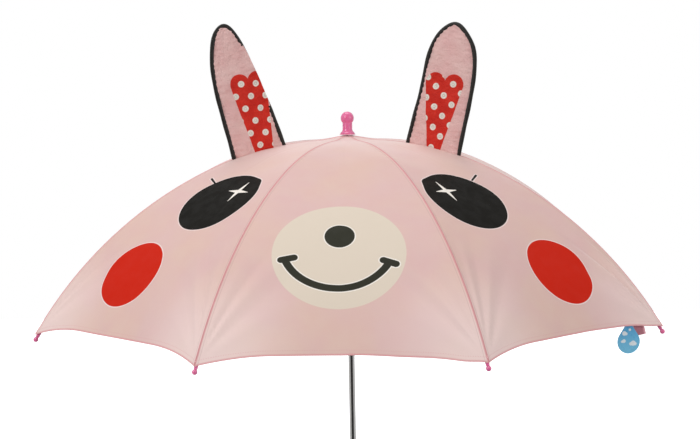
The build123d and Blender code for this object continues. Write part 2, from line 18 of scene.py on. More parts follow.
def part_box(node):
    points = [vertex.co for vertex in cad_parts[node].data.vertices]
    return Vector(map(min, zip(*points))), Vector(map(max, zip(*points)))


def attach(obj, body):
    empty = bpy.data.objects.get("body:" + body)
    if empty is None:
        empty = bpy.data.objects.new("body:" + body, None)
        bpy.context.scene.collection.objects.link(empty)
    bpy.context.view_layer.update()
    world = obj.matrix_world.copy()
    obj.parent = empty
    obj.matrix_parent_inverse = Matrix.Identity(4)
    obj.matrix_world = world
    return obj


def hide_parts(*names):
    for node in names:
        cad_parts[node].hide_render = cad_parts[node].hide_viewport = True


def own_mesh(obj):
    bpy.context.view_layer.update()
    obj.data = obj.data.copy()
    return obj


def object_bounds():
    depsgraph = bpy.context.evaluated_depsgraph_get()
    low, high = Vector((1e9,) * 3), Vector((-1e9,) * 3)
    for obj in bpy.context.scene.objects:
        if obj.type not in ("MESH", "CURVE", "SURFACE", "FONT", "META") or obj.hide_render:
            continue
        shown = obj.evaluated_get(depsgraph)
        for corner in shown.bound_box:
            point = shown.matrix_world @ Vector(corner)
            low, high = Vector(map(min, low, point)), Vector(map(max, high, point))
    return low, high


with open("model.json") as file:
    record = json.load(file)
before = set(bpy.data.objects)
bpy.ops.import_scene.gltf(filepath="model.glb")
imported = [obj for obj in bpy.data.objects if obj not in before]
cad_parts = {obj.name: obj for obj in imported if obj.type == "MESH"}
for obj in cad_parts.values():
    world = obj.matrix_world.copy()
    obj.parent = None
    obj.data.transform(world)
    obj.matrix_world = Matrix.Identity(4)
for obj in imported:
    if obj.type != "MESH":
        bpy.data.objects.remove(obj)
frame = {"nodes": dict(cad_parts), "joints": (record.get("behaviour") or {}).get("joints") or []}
cad_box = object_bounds()

# ---------------------------------------------------------------- sizes

MM = 0.001
RIBS = 8
STEP = 2 * math.pi / RIBS
HALF = STEP / 2

CLOTH_THICKNESS = 0.5 * MM
PEAK_RADIUS = 5.0 * MM
HEM_STRAIGHT = 140 * MM
HEM_FOLD = 6 * MM
WELT_HEIGHT = 0.5 * MM
WELT_WIDTH = 1.3 * MM
ACROSS_POINTS = 37
INNER_ROWS = 44
OUTER_ROWS = 62
STRAP_GORE = 1
CORNER_OVERHANG = 2.5 * MM
HEM_DROP = 3.0 * MM
HEM_DROPS = {8: 3.8 * MM, 7: 1.8 * MM}
HEM_SAGS = {1: 1.2 * MM, 8: 1.8 * MM}
CLOTH_PER_REACH = 1.55

EAR_RIBS = {"ear_right": 2, "ear_left": 7}
TAG_AZIMUTH = math.radians(15)
STRAP_AZIMUTH = STEP
HEART_DOT_RADIUS = 4.0 * MM

# ---------------------------------------------------------------- directions and heights


def radial(azimuth):
    """Outward direction at an azimuth counted from the front, towards +X."""
    return np.array([math.sin(azimuth), -math.cos(azimuth), 0.0])


def sideways(azimuth):
    return np.array([math.cos(azimuth), math.sin(azimuth), 0.0])


UP = np.array([0.0, 0.0, 1.0])


def rib_azimuth(number):
    return HALF + STEP * (number - 1)


def gore_azimuth(number):
    return STEP * number


def joint_place(name):
    """A joint's place in the row frame."""
    found = [joint for joint in frame["joints"] if joint["name"] == name][0]
    return np.array(found["pos_m"], float)


HINGE = joint_place("canopy_fold")
FLEX = joint_place("rib_1_flex")
HINGE_RADIUS = float(HINGE @ radial(rib_azimuth(1)))
FLEX_RADIUS = float(FLEX @ radial(rib_azimuth(1)))
HINGE_HEIGHT = float(HINGE[2])


def panel_profile(number):
    """How far out and how high the upper side of a CAD panel runs, from the peak to the hem."""
    mesh = frame["nodes"][f"canopy_panel_{number}"].data
    out = Vector(radial(gore_azimuth(number)))
    upward, spacing = 0.3, 3 * MM
    found = {}
    for face in mesh.polygons:
        if face.normal.z > upward:
            for index in face.vertices:
                place = mesh.vertices[index].co
                found[round(place.dot(out), 5)] = place.z
    reaches, heights = [], []
    for reach in sorted(found):
        if not reaches or reach - reaches[-1] > spacing:
            reaches.append(reach)
            heights.append(found[reach])
    return np.array(reaches), np.array(heights)


REACHES, HEIGHTS = panel_profile(8)
SLOPES = np.gradient(HEIGHTS, REACHES)
CORNER_REACH = float(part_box("canopy_panel_8")[0].y * -1) + CORNER_OVERHANG


def cloth_height(reach):
    """Height of the cloth's upper side at a distance out along a gore's middle."""
    reach = np.asarray(reach, float)
    place = np.clip(np.searchsorted(REACHES, reach) - 1, 0, len(REACHES) - 2)
    start, end = REACHES[place], REACHES[place + 1]
    span = end - start
    t = (reach - start) / span
    smooth = (
        (2 * t**3 - 3 * t**2 + 1) * HEIGHTS[place]
        + (t**3 - 2 * t**2 + t) * span * SLOPES[place]
        + (3 * t**2 - 2 * t**3) * HEIGHTS[place + 1]
        + (t**3 - t**2) * span * SLOPES[place + 1]
    )
    past = HEIGHTS[-1] + SLOPES[-1] * (reach - REACHES[-1])
    before = HEIGHTS[0] + SLOPES[0] * (reach - REACHES[0])
    return np.where(reach > REACHES[-1], past, np.where(reach < REACHES[0], before, smooth))


FINE_REACH = np.linspace(0, 1.05 * CORNER_REACH, 1200)
FINE_DOWN = np.concatenate(
    [[0.0], np.cumsum(np.hypot(np.diff(FINE_REACH), np.diff(cloth_height(FINE_REACH))))]
)


def cloth_down(reach):
    """Length of cloth from the peak to a distance out."""
    return np.interp(reach, FINE_REACH, FINE_DOWN)


def smooth_step(value, low, high):
    t = np.clip((value - low) / (high - low), 0, 1)
    return t * t * (3 - 2 * t)


# ---------------------------------------------------------------- canopy shape


def find_hem_middle():
    """How far out the front panel's hem is at its middle."""
    mesh = frame["nodes"]["canopy_panel_8"].data
    near_middle = 3 * MM
    lowest = min(vertex.co.z for vertex in mesh.vertices)
    hem = [
        -vertex.co.y
        for vertex in mesh.vertices
        if abs(vertex.co.x) < HEM_STRAIGHT / 2 + near_middle and vertex.co.z < lowest + 20 * MM
    ]
    return max(hem)


HEM_MIDDLE = find_hem_middle()
CORNER_SIDE = CORNER_REACH * math.tan(HALF)
HEM_BEND = CORNER_SIDE - HEM_STRAIGHT / 2


def hem_reach(across, number):
    """How far out a gore's hem is, at a distance across from its middle."""
    middle = HEM_MIDDLE + HEM_DROPS.get(number, HEM_DROP)
    depth = CORNER_REACH - middle
    arc = (HEM_BEND**2 + depth**2) / (2 * depth)
    past = np.clip(np.abs(across) - HEM_STRAIGHT / 2, 0, HEM_BEND)
    reach = middle + arc - np.sqrt(arc**2 - past**2)
    if number in HEM_SAGS:
        rise = smooth_step(across, 10 * MM, 85 * MM)
        fall = 1 - smooth_step(across, 125 * MM, CORNER_SIDE)
        reach = reach + HEM_SAGS[number] * (rise * fall)
    return reach


def tip_folds(number, side, reach, across):
    """Tension folds in the cloth that fan out from one corner of a gore."""
    draw = np.random.default_rng(100 * number + (side > 0))
    stretch = 1.5
    inward = (CORNER_REACH - reach) * stretch
    away = CORNER_SIDE - side * across
    distance = np.hypot(inward, away)
    turn = np.arctan2(away, inward) - math.atan2(math.tan(HALF), stretch)
    strength = smooth_step(distance, 8 * MM, 45 * MM) * (
        1 - smooth_step(distance, 85 * MM, 190 * MM)
    )
    depth = 2.0 * MM if number == STRAP_GORE and side > 0 else 0.9 * MM
    total = np.zeros_like(distance)
    for place, width, sign in (
        (0.13, 0.045, 1), (0.25, 0.045, -1), (0.38, 0.055, 0.9), (0.54, 0.07, -0.7),
        (0.75, 0.09, 0.4), (1.0, 0.11, -0.25),
    ):
        place = place + draw.uniform(-0.015, 0.015)
        size = sign * depth * draw.uniform(0.7, 1.2)
        total += size * np.exp(-(((turn - place) / width) ** 2))
    return total * strength


def cloth_relief(number, reach, across):
    """How far the cloth stands off its smooth surface."""
    draw = np.random.default_rng(number)
    phases = draw.uniform(0, 2 * math.pi, 6)
    seam = (reach * math.tan(HALF) - np.abs(across)) * math.cos(HALF)
    hem = (hem_reach(across, number) - reach) * CLOTH_PER_REACH
    off_seam = 1 - np.exp(-((seam / (7 * MM)) ** 2))
    long_wave = np.sin(2 * math.pi * reach / 0.135 + phases[0])
    waves = (
        long_wave * np.sin(2 * math.pi * across / 0.16 + phases[1])
        + 0.6 * np.sin(2 * math.pi * (reach + 0.6 * across) / 0.083 + phases[2])
        + 0.4 * np.sin(2 * math.pi * (reach - 0.9 * across) / 0.061 + phases[3])
    )
    relief = 0.35 * MM * waves * off_seam
    for side in (-1, 1):
        relief = relief + tip_folds(number, side, reach, across) * off_seam
    pucker = np.sin(2 * math.pi * reach / (11 * MM) + phases[4] + 3 * np.sin(reach / (25 * MM)))
    relief = relief + 0.10 * MM * pucker * np.exp(-(((seam - 4 * MM) / (3 * MM)) ** 2))
    relief = relief + WELT_HEIGHT * np.exp(-((seam / WELT_WIDTH) ** 2))
    relief = relief + 0.35 * MM * (1 - smooth_step(hem, HEM_FOLD - 1 * MM, HEM_FOLD))
    crease = np.exp(-((across / (1.6 * MM)) ** 2))
    relief = relief - 0.22 * MM * crease * smooth_step(reach, 0.05, 0.09)
    return relief


def gore_points(number, reach, across, lift):
    """Points over a gore's smooth surface, lifted square to it."""
    azimuth = gore_azimuth(number)
    nudge = 0.5 * MM
    fall = (cloth_height(reach + nudge) - cloth_height(reach - nudge)) / (2 * nudge)
    length = np.sqrt(1 + fall**2)
    points = reach[..., None] * radial(azimuth) + across[..., None] * sideways(azimuth)
    points = points + cloth_height(reach)[..., None] * UP
    square = (-fall / length)[..., None] * radial(azimuth) + (1 / length)[..., None] * UP
    return points + square * lift[..., None]


def gore_surface(number, reach, across):
    """Points of the finished cloth and its outward directions."""
    nudge = 0.3 * MM

    def at(a, b):
        return gore_points(number, a, b, cloth_relief(number, a, b))

    down = at(reach + nudge, across) - at(reach - nudge, across)
    over = at(reach, across + nudge) - at(reach, across - nudge)
    normals = np.cross(down, over)
    normals /= np.linalg.norm(normals, axis=-1, keepdims=True)
    normals[normals[..., 2] < 0] *= -1
    return at(reach, across), normals


def shown(name, mesh, *materials):
    """Puts a finished mesh in the scene as a smooth piece."""
    mesh.shade_smooth()
    for material in materials:
        mesh.materials.append(material)
    piece = bpy.data.objects.new(name, mesh)
    bpy.context.scene.collection.objects.link(piece)
    return piece


def mesh_of(name, work):
    """Mesh made from a bmesh, with its faces turned outwards."""
    bmesh.ops.recalc_face_normals(work, faces=work.faces)
    mesh = bpy.data.meshes.new(name)
    work.to_mesh(mesh)
    work.free()
    return mesh


def closed_shell(name, front, back, *materials):
    """Closed piece between two grids of points, with the number of faces on its front."""
    rows, columns = front.shape[:2]
    count = rows * columns
    index = np.arange(count).reshape(rows, columns)
    quads = np.stack([index[:-1, :-1], index[1:, :-1], index[1:, 1:], index[:-1, 1:]], -1)
    quads = quads.reshape(-1, 4)
    border = np.concatenate([index[0, :-1], index[:-1, -1], index[-1, :0:-1], index[:0:-1, 0]])
    after = np.roll(border, -1)
    rim = np.stack([border, after, after + count, border + count], -1)
    faces = np.concatenate([quads, quads[:, ::-1] + count, rim])
    vertices = np.concatenate([front.reshape(-1, 3), back.reshape(-1, 3)])
    rough = bpy.data.meshes.new(name)
    rough.from_pydata(vertices.tolist(), [], faces.tolist())
    work = bmesh.new()
    work.from_mesh(rough)
    bpy.data.meshes.remove(rough)
    return shown(name, mesh_of(name, work), *materials), len(quads)


def closed_sheet(name, points, normals, thickness, materials):
    """Thin closed sheet with a grid of points on top.  The rest has the second material."""
    piece, upper = closed_shell(name, points, points - normals * thickness, *materials)
    mesh = piece.data
    corners = np.zeros(len(mesh.loops), np.int32)
    mesh.loops.foreach_get("vertex_index", corners)
    both = np.concatenate([normals.reshape(-1, 3), -normals.reshape(-1, 3)])
    loop_normals = both[corners]
    for face in mesh.polygons[2 * upper :]:
        loop_normals[face.loop_start : face.loop_start + 4] = face.normal
    mesh.normals_split_custom_set(loop_normals.tolist())
    below = np.arange(len(mesh.polygons)) >= upper
    mesh.polygons.foreach_set("material_index", below.astype(np.int32))
    return piece


def closed_tube(name, rings, material):
    """Closed piece through rings of points."""
    work = bmesh.new()
    rings = [[work.verts.new(spot) for spot in ring] for ring in rings]
    around = len(rings[0])
    for near, far in zip(rings, rings[1:]):
        for step in range(around):
            after = (step + 1) % around
            work.faces.new((near[step], near[after], far[after], far[step]))
    for ring in (rings[0][::-1], rings[-1]):
        work.faces.new(ring)
    return shown(name, mesh_of(name, work), material)


def store(piece, name, values):
    """Keeps three numbers at each point of a piece, for its material to read."""
    attribute = piece.data.attributes.new(name, "FLOAT_VECTOR", "POINT")
    attribute.data.foreach_set("vector", np.asarray(values, np.float32).reshape(-1))


def make_half_gore(number, side, zone, materials):
    """Half of a gore from its middle line to a rib, on the inner or the outer part of that rib."""
    rib = number if side < 0 else number % RIBS + 1
    spread = 1 - (1 - np.linspace(0, 1, ACROSS_POINTS)) ** 1.5
    slant = spread * math.tan(HALF)
    start = PEAK_RADIUS / np.sqrt(1 + slant**2)
    split = FLEX_RADIUS / (math.cos(HALF) + slant * math.sin(HALF))
    edge = np.full_like(spread, HEM_MIDDLE)
    for _ in range(8):
        edge = hem_reach(side * slant * edge, number)
    low, high, rows = (start, split, INNER_ROWS) if zone == "inner" else (split, edge, OUTER_ROWS)
    t = np.linspace(0, 1, rows)[:, None]
    reach = low + (high - low) * t
    across = side * slant * reach
    points, normals = gore_surface(number, reach, across)
    if side < 0:
        points, normals, reach, across = (a[:, ::-1] for a in (points, normals, reach, across))
    name = f"canopy_{number}_{'right' if side > 0 else 'left'}_{zone}"
    piece = closed_sheet(name, points, normals, CLOTH_THICKNESS, materials)
    down = cloth_down(reach)
    flat = np.stack([across, down, 0 * down], -1)
    seam = (reach * math.tan(HALF) - np.abs(across)) * math.cos(HALF)
    hem = (hem_reach(across, number) - reach) * CLOTH_PER_REACH
    edges = np.stack([seam, hem, 0 * hem], -1)
    store(piece, "cut", np.concatenate([flat.reshape(-1, 3)] * 2))
    store(piece, "edges", np.concatenate([edges.reshape(-1, 3)] * 2))

    azimuth = rib_azimuth(rib)
    corner = radial(azimuth) * CORNER_REACH / math.cos(HALF) + UP * cloth_height(CORNER_REACH)
    hinge = radial(azimuth) * HINGE_RADIUS + UP * HINGE_HEIGHT
    flex = radial(azimuth) * FLEX_RADIUS + UP * FLEX[2]
    chord = flex - hinge if zone == "inner" else corner - flex
    chord /= np.linalg.norm(chord)
    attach(piece, f"rib_{rib}" if zone == "inner" else f"rib_end_{rib}")
    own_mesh(piece)
    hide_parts(f"canopy_panel_{number}")
    return piece


# ---------------------------------------------------------------- material tools


def srgb(code):
    """Linear colour of a hex code."""
    parts = [int(code[i : i + 2], 16) / 255 for i in (0, 2, 4)]
    linear = [c / 12.92 if c <= 0.04045 else ((c + 0.055) / 1.055) ** 2.4 for c in parts]
    return (*linear, 1.0)


class Nodes:
    """Short calls for building one material's nodes."""

    def __init__(self, name):
        self.material = bpy.data.materials.new(name)
        self.material.use_nodes = True
        self.tree = self.material.node_tree
        self.shader = self.tree.nodes["Principled BSDF"]

    def node(self, kind, **settings):
        made = self.tree.nodes.new(kind)
        for key, value in settings.items():
            setattr(made, key, value)
        return made

    def feed(self, socket, value):
        if isinstance(value, bpy.types.NodeSocket):
            self.tree.links.new(value, socket)
        else:
            socket.default_value = value

    def math(self, operation, *values):
        made = self.node("ShaderNodeMath", operation=operation)
        for socket, value in zip(made.inputs, values):
            self.feed(socket, value)
        return made.outputs[0]

    def vector(self, operation, *values):
        made = self.node("ShaderNodeVectorMath", operation=operation)
        for socket, value in zip(made.inputs, values):
            self.feed(socket, value)
        return made.outputs["Value" if operation in ("LENGTH", "DOT_PRODUCT") else "Vector"]

    def scale(self, vector, factor):
        made = self.node("ShaderNodeVectorMath", operation="SCALE")
        self.feed(made.inputs[0], vector)
        self.feed(made.inputs["Scale"], factor)
        return made.outputs[0]

    def attribute(self, name):
        return self.node("ShaderNodeAttribute", attribute_name=name).outputs["Vector"]

    def parts(self, vector):
        made = self.node("ShaderNodeSeparateXYZ")
        self.feed(made.inputs[0], vector)
        return made.outputs

    def noise(self, vector, scale, detail=2.0, rough=0.5):
        made = self.node("ShaderNodeTexNoise")
        self.feed(made.inputs["Vector"], vector)
        made.inputs["Scale"].default_value = scale
        made.inputs["Detail"].default_value = detail
        made.inputs["Roughness"].default_value = rough
        return made.outputs["Fac"]

    def ramp(self, value, low, high, start=0.0, end=1.0):
        """start below low, end above high, and a smooth change between them."""
        made = self.node("ShaderNodeMapRange", interpolation_type="SMOOTHSTEP")
        for socket, number in zip(made.inputs, (value, low, high, start, end)):
            self.feed(socket, number)
        return made.outputs[0]

    def mix(self, factor, first, second):
        made = self.node("ShaderNodeMix", data_type="RGBA")
        self.feed(made.inputs["Factor"], factor)
        self.feed(made.inputs["A"], first)
        self.feed(made.inputs["B"], second)
        return made.outputs["Result"]

    def disc(self, place, centre, radius):
        """Distance outside a disc."""
        gap = self.vector("SUBTRACT", place, (*centre, 0.0))
        return self.math("SUBTRACT", self.vector("LENGTH", gap), radius)

    def segment(self, place, start, end, start_radius, end_radius):
        """Distance outside a straight stroke with round ends."""
        start, end = Vector((*start, 0.0)), Vector((*end, 0.0))
        run = end - start
        gap = self.vector("SUBTRACT", place, start)
        along = self.math("DIVIDE", self.vector("DOT_PRODUCT", gap, run), run.length_squared)
        along = self.math("MINIMUM", self.math("MAXIMUM", along, 0.0), 1.0)
        away = self.vector("LENGTH", self.vector("SUBTRACT", gap, self.scale(run, along)))
        radius = self.math("MULTIPLY_ADD", along, end_radius - start_radius, start_radius)
        return self.math("SUBTRACT", away, radius)

    def drop(self, place, start, end, start_radius, end_radius):
        """Distance outside a drop: a disc, a smaller disc and the straight edges between them."""
        start, end = Vector((*start, 0.0)), Vector((*end, 0.0))
        reach = (end - start).length
        along = (end - start) / reach
        over = Vector((-along.y, along.x, 0.0))
        lean = (start_radius - end_radius) / reach
        rise = math.sqrt(1 - lean * lean)
        gap = self.vector("SUBTRACT", place, start)
        x = self.math("ABSOLUTE", self.vector("DOT_PRODUCT", gap, over))
        y = self.vector("DOT_PRODUCT", gap, along)
        side = self.math("MULTIPLY_ADD", x, rise, self.math("MULTIPLY", y, lean))
        side = self.math("SUBTRACT", side, start_radius)
        step = self.math("SUBTRACT", self.math("MULTIPLY", y, rise), self.math("MULTIPLY", x, lean))
        before = self.math("MULTIPLY", step, -1.0)
        ends = self.math("MAXIMUM", before, self.math("SUBTRACT", step, rise * reach))
        wedge = self.math("MAXIMUM", side, ends)
        discs = (self.disc(place, start[:2], start_radius), self.disc(place, end[:2], end_radius))
        return self.math("MINIMUM", self.math("MINIMUM", *discs), wedge)

    def inside(self, distance, soft=0.35 * MM):
        return self.ramp(distance, -soft, soft, 1.0, 0.0)

    def line(self, value, middle, half_width):
        """1 on a narrow line where a value is near the middle, 0 elsewhere."""
        gap = self.math("ABSOLUTE", self.math("SUBTRACT", value, middle))
        return self.inside(self.math("SUBTRACT", gap, half_width))

    def bump(self, height, strength, distance, normal=None):
        made = self.node("ShaderNodeBump")
        made.inputs["Strength"].default_value = strength
        made.inputs["Distance"].default_value = distance
        self.feed(made.inputs["Height"], height)
        if normal is not None:
            self.feed(made.inputs["Normal"], normal)
        return made.outputs[0]

    def set(self, **values):
        for key, value in values.items():
            self.feed(self.shader.inputs[key.replace("_", " ")], value)


# ---------------------------------------------------------------- cloth materials

PINK = srgb("E0BEBA")
PINK_WARM = srgb("E2C2B6")
SEAM_PINK = srgb("DE9A9E")
# Painted light: a paler pink that stands in for light shining through the thin cloth. It is used
# where the cloth is seen at a slant and near the hem corners.
PAINTED_GLOW_PINK = srgb("F8E2DE")
# Painted shadow: a greyish pink for the shade in the groove beside each seam.
SEAM_SHADOW_GREY = srgb("A98787")
CREAM = srgb("E2D4C3")
EYE_BLACK = srgb("12100C")
INK = srgb("34342B")
CHEEK_RED = srgb("CF240F")
HALO = srgb("F1DCD8")
WHITE = srgb("F6EFE6")
WEAVE = 0.55 * MM


def weave_height(m, place):
    """Height of a plain weave, from 0 to 1."""
    x, y, _ = m.parts(place)
    turns = 2 * math.pi / WEAVE
    warp = m.math("SINE", m.math("MULTIPLY", x, turns))
    weft = m.math("SINE", m.math("MULTIPLY", y, turns))
    return m.math("MULTIPLY_ADD", m.math("MULTIPLY", warp, weft), 0.5, 0.5)


def print_shape(m, colour, distance, ink, halo=None):
    """Prints a shape over a colour, with a thin pale line round it."""
    if halo is not None:
        colour = m.mix(m.inside(m.math("SUBTRACT", distance, 1.3 * MM)), colour, halo)
    return m.mix(m.inside(distance), colour, ink)


def sparkle(m, place, centre, tall, wide):
    """Distance outside a slim star with four points."""
    (x, y), waist = centre, 3.3 * MM
    arms = [
        m.segment(place, centre, end, waist, 0.5 * MM)
        for end in ((x, y - tall), (x, y + tall), (x - wide, y), (x + wide, y))
    ]
    return m.math(
        "MINIMUM", m.math("MINIMUM", arms[0], arms[1]), m.math("MINIMUM", arms[2], arms[3])
    )


def print_eye(m, colour, place, centre, corner, lash, star):
    eye = m.drop(place, centre, corner, 53.2 * MM, 17.5 * MM)
    eye = m.math("MINIMUM", eye, m.segment(place, *lash, 1.5 * MM, 1.2 * MM))
    colour = print_shape(m, colour, eye, EYE_BLACK, HALO)
    return print_shape(m, colour, sparkle(m, place, star, 19 * MM, 16.5 * MM), WHITE)


def print_left_side(m, colour, place):
    colour = print_eye(
        m, colour, place, (0.0145, 0.2363), (0.0369, 0.2056),
        ((-0.0435, 0.1943), (-0.0260, 0.2040)), (0.0320, 0.2176),
    )
    return print_shape(m, colour, m.disc(place, (-0.0328, 0.3601), 45.2 * MM), CHEEK_RED, HALO)


def print_right_side(m, colour, place):
    colour = print_eye(
        m, colour, place, (-0.0268, 0.2403), (-0.0501, 0.2102),
        ((0.0345, 0.1950), (0.0168, 0.2055)), (-0.0432, 0.2218),
    )
    return print_shape(m, colour, m.disc(place, (0.0304, 0.3642), 45.6 * MM), CHEEK_RED, HALO)


def print_front(m, colour, place):
    """Muzzle, nose and smile."""
    colour = print_shape(m, colour, m.disc(place, (-0.0032, 0.3182), 74 * MM), CREAM)
    nose = m.disc(place, (-0.0028, 0.2934), 16.8 * MM)
    centre, radius, pen = (-0.0042, 0.3032), 63 * MM, 4.3 * MM
    ring = m.math("SUBTRACT", m.math("ABSOLUTE", m.disc(place, centre, radius)), pen)
    _, y, _ = m.parts(place)
    lower = m.math("SUBTRACT", centre[1] + 0.026, y)
    smile = m.math("MAXIMUM", ring, lower)
    left = m.segment(place, (-0.0665, 0.3272), (-0.0525, 0.3240), pen, pen)
    right = m.segment(place, (0.0455, 0.3292), (0.0590, 0.3347), pen, pen)
    lines = m.math("MINIMUM", m.math("MINIMUM", smile, left), m.math("MINIMUM", right, nose))
    return print_shape(m, colour, lines, INK, WHITE)


def cloth_material(name, print_on=None, inside=False):
    """Printed canopy cloth.  Its inner side is paler, and the print shows through it."""
    m = Nodes(name)
    place = m.attribute("cut")
    seam, hem, _ = m.parts(m.attribute("edges"))
    colour = m.mix(m.ramp(m.noise(place, 9.0, 3.0), 0.35, 0.65), PINK, PINK_WARM)
    cloudy = m.ramp(m.noise(place, 38.0, 4.0, 0.6), 0.3, 0.7, 0.0, 0.08)
    colour = m.mix(cloudy, colour, SEAM_PINK)
    # Painted light: the cloth colour is mixed towards a paler pink where the surface is seen at a
    # slant and near the hem corners. This stands in for light shining through the cloth from
    # behind.
    slant = m.node("ShaderNodeLayerWeight").outputs["Facing"]
    tip = m.vector("LENGTH", m.attribute("edges"))
    grazing_glow = m.ramp(slant, 0.55, 0.97, 0.0, 0.7)
    pale = m.math("MAXIMUM", grazing_glow, m.ramp(tip, 10 * MM, 115 * MM, 0.65, 0.0))
    colour = m.mix(pale, colour, PAINTED_GLOW_PINK)
    if print_on:
        printed = print_on(m, colour, place)
        colour = m.mix(0.35, colour, printed) if inside else printed
    seam_line = m.ramp(seam, 0.5 * MM, 1.7 * MM, 0.85, 0.0)
    hem_line = m.ramp(hem, 0.6 * MM, 2.4 * MM, 0.75, 0.0)
    colour = m.mix(m.math("MAXIMUM", seam_line, hem_line), colour, SEAM_PINK)
    # Painted shadow: a faint darker line 3 mm beside each seam, standing in for the shade in the
    # groove there.
    beside = m.math("MULTIPLY", m.line(seam, 3.0 * MM, 0.3 * MM), 0.3)
    colour = m.mix(beside, colour, SEAM_SHADOW_GREY)
    across, down, _ = m.parts(place)
    stitch_turns = 2 * math.pi / (2.6 * MM)
    thread = m.ramp(m.math("SINE", m.math("MULTIPLY", across, stitch_turns)), -0.2, 0.3)
    hem_stitch = m.line(hem, HEM_FOLD * 0.8, 0.25 * MM)
    stitches = m.math("MULTIPLY", m.math("MULTIPLY", thread, hem_stitch), 0.5)
    colour = m.mix(stitches, colour, SEAM_PINK)
    height = m.math("ADD", weave_height(m, place), m.math("MULTIPLY", stitches, 3.0))
    fine = m.bump(height, 0.25, 0.08 * MM)
    crumple = m.noise(place, 55.0, 5.0, 0.62)
    m.set(
        Base_Color=colour,
        Roughness=m.ramp(m.noise(place, 70.0, 3.0), 0.3, 0.7, 0.60, 0.74),
        Normal=m.bump(crumple, 0.28, 0.9 * MM, fine),
        Sheen_Weight=0.02,
        Sheen_Roughness=0.45,
        Specular_IOR_Level=0.08,
    )
    return m.material


def ear_material(name, lobes, first_dot, row, column):
    """Pink ear cloth with a red heart and white dots.

    The dots stand at first_dot and at whole and half steps of row and column from it.
    """
    m = Nodes(name)
    place = m.attribute("cut")
    colour = m.mix(m.ramp(m.noise(place, 30.0, 3.0), 0.3, 0.7), srgb("EBBBB8"), srgb("F0C9C4"))
    first, second = (m.segment(place, *lobe) for lobe in lobes)
    heart = m.inside(m.math("MINIMUM", first, second), 0.3 * MM)
    lattice = np.linalg.inv(np.array([row, column]).T)
    gap = m.vector("SUBTRACT", place, (*first_dot, 0.0))
    centres = []
    for shift in (0.0, 0.5):
        offset = (0.0, 0.0, 0.0)
        for direction, step in zip(lattice, (row, column)):
            steps = m.math("ADD", m.vector("DOT_PRODUCT", gap, (*direction, 0.0)), shift)
            part_step = m.math("WRAP", steps, 0.5, -0.5)
            offset = m.vector("ADD", offset, m.scale((*step, 0.0), part_step))
        centres.append(m.vector("LENGTH", offset))
    nearest = m.math("MINIMUM", *centres)
    dots = m.inside(m.math("SUBTRACT", nearest, HEART_DOT_RADIUS), 0.3 * MM)
    ring = m.inside(
        m.math("SUBTRACT", m.math("ABSOLUTE", m.math("SUBTRACT", nearest, 1.5 * MM)), 0.3 * MM)
    )
    dot_colour = m.mix(m.math("MULTIPLY", ring, 0.55), srgb("F0E9DE"), srgb("A89F92"))
    red = m.mix(m.ramp(m.noise(place, 60.0, 3.0), 0.3, 0.7), srgb("CF2416"), srgb("DC3020"))
    colour = m.mix(heart, colour, m.mix(dots, red, dot_colour))
    fine = m.bump(weave_height(m, place), 0.25, 0.08 * MM)
    m.set(
        Base_Color=colour,
        Roughness=m.ramp(m.noise(place, 90.0, 3.0), 0.3, 0.7, 0.5, 0.66),
        Normal=m.bump(m.noise(place, 110.0, 5.0, 0.65), 0.95, 4.5 * MM, fine),
        Sheen_Weight=0.03,
        Sheen_Roughness=0.4,
        Specular_IOR_Level=0.25,
    )
    return m.material


def band_material(name, colour, second, roughness=0.6):
    """Woven tape or doubled cloth, with its own slight unevenness."""
    m = Nodes(name)
    place = m.node("ShaderNodeTexCoord").outputs["Object"]
    spots = m.noise(place, 160.0, 4.0, 0.6)
    m.set(
        Base_Color=m.mix(m.ramp(spots, 0.3, 0.7), colour, second),
        Roughness=m.ramp(spots, 0.3, 0.7, roughness - 0.06, roughness + 0.08),
        Normal=m.bump(m.noise(place, 900.0, 3.0), 0.35, 0.25 * MM),
        Sheen_Weight=0.1,
        Specular_IOR_Level=0.35,
    )
    return m.material


# ---------------------------------------------------------------- hard materials


def plastic_material(name, colour, second, roughness, soft=0.0):
    m = Nodes(name)
    place = m.node("ShaderNodeTexCoord").outputs["Object"]
    cloud = m.noise(place, 45.0, 3.0)
    m.set(
        Base_Color=m.mix(m.ramp(cloud, 0.3, 0.7), colour, second),
        Roughness=m.ramp(m.noise(place, 220.0, 4.0, 0.6), 0.3, 0.7, roughness, roughness + 0.1),
        Normal=m.bump(m.noise(place, 700.0, 2.0), 0.06, 0.15 * MM),
        Coat_Weight=0.35,
        Coat_Roughness=0.12,
        Subsurface_Weight=soft,
        Subsurface_Radius=(0.004, 0.0015, 0.0015),
    )
    return m.material


def metal_material(name, colour, second, roughness, drawn=0.0):
    """Polished or drawn metal, with fine lines along the shaft where it is drawn."""
    m = Nodes(name)
    place = m.node("ShaderNodeTexCoord").outputs["Object"]
    stretched = m.node("ShaderNodeMapping")
    m.feed(stretched.inputs["Vector"], place)
    stretched.inputs["Scale"].default_value = (1.0, 1.0, 0.03 if drawn else 1.0)
    grain = m.noise(stretched.outputs[0], 900.0, 4.0, 0.6)
    stain = m.noise(place, 35.0, 4.0, 0.6)
    m.set(
        Metallic=1.0,
        Base_Color=m.mix(m.ramp(stain, 0.35, 0.7), colour, second),
        Roughness=m.ramp(grain, 0.3, 0.7, roughness, roughness + 0.12),
        Normal=m.bump(grain, 0.05 + 0.1 * drawn, 0.1 * MM),
    )
    return m.material


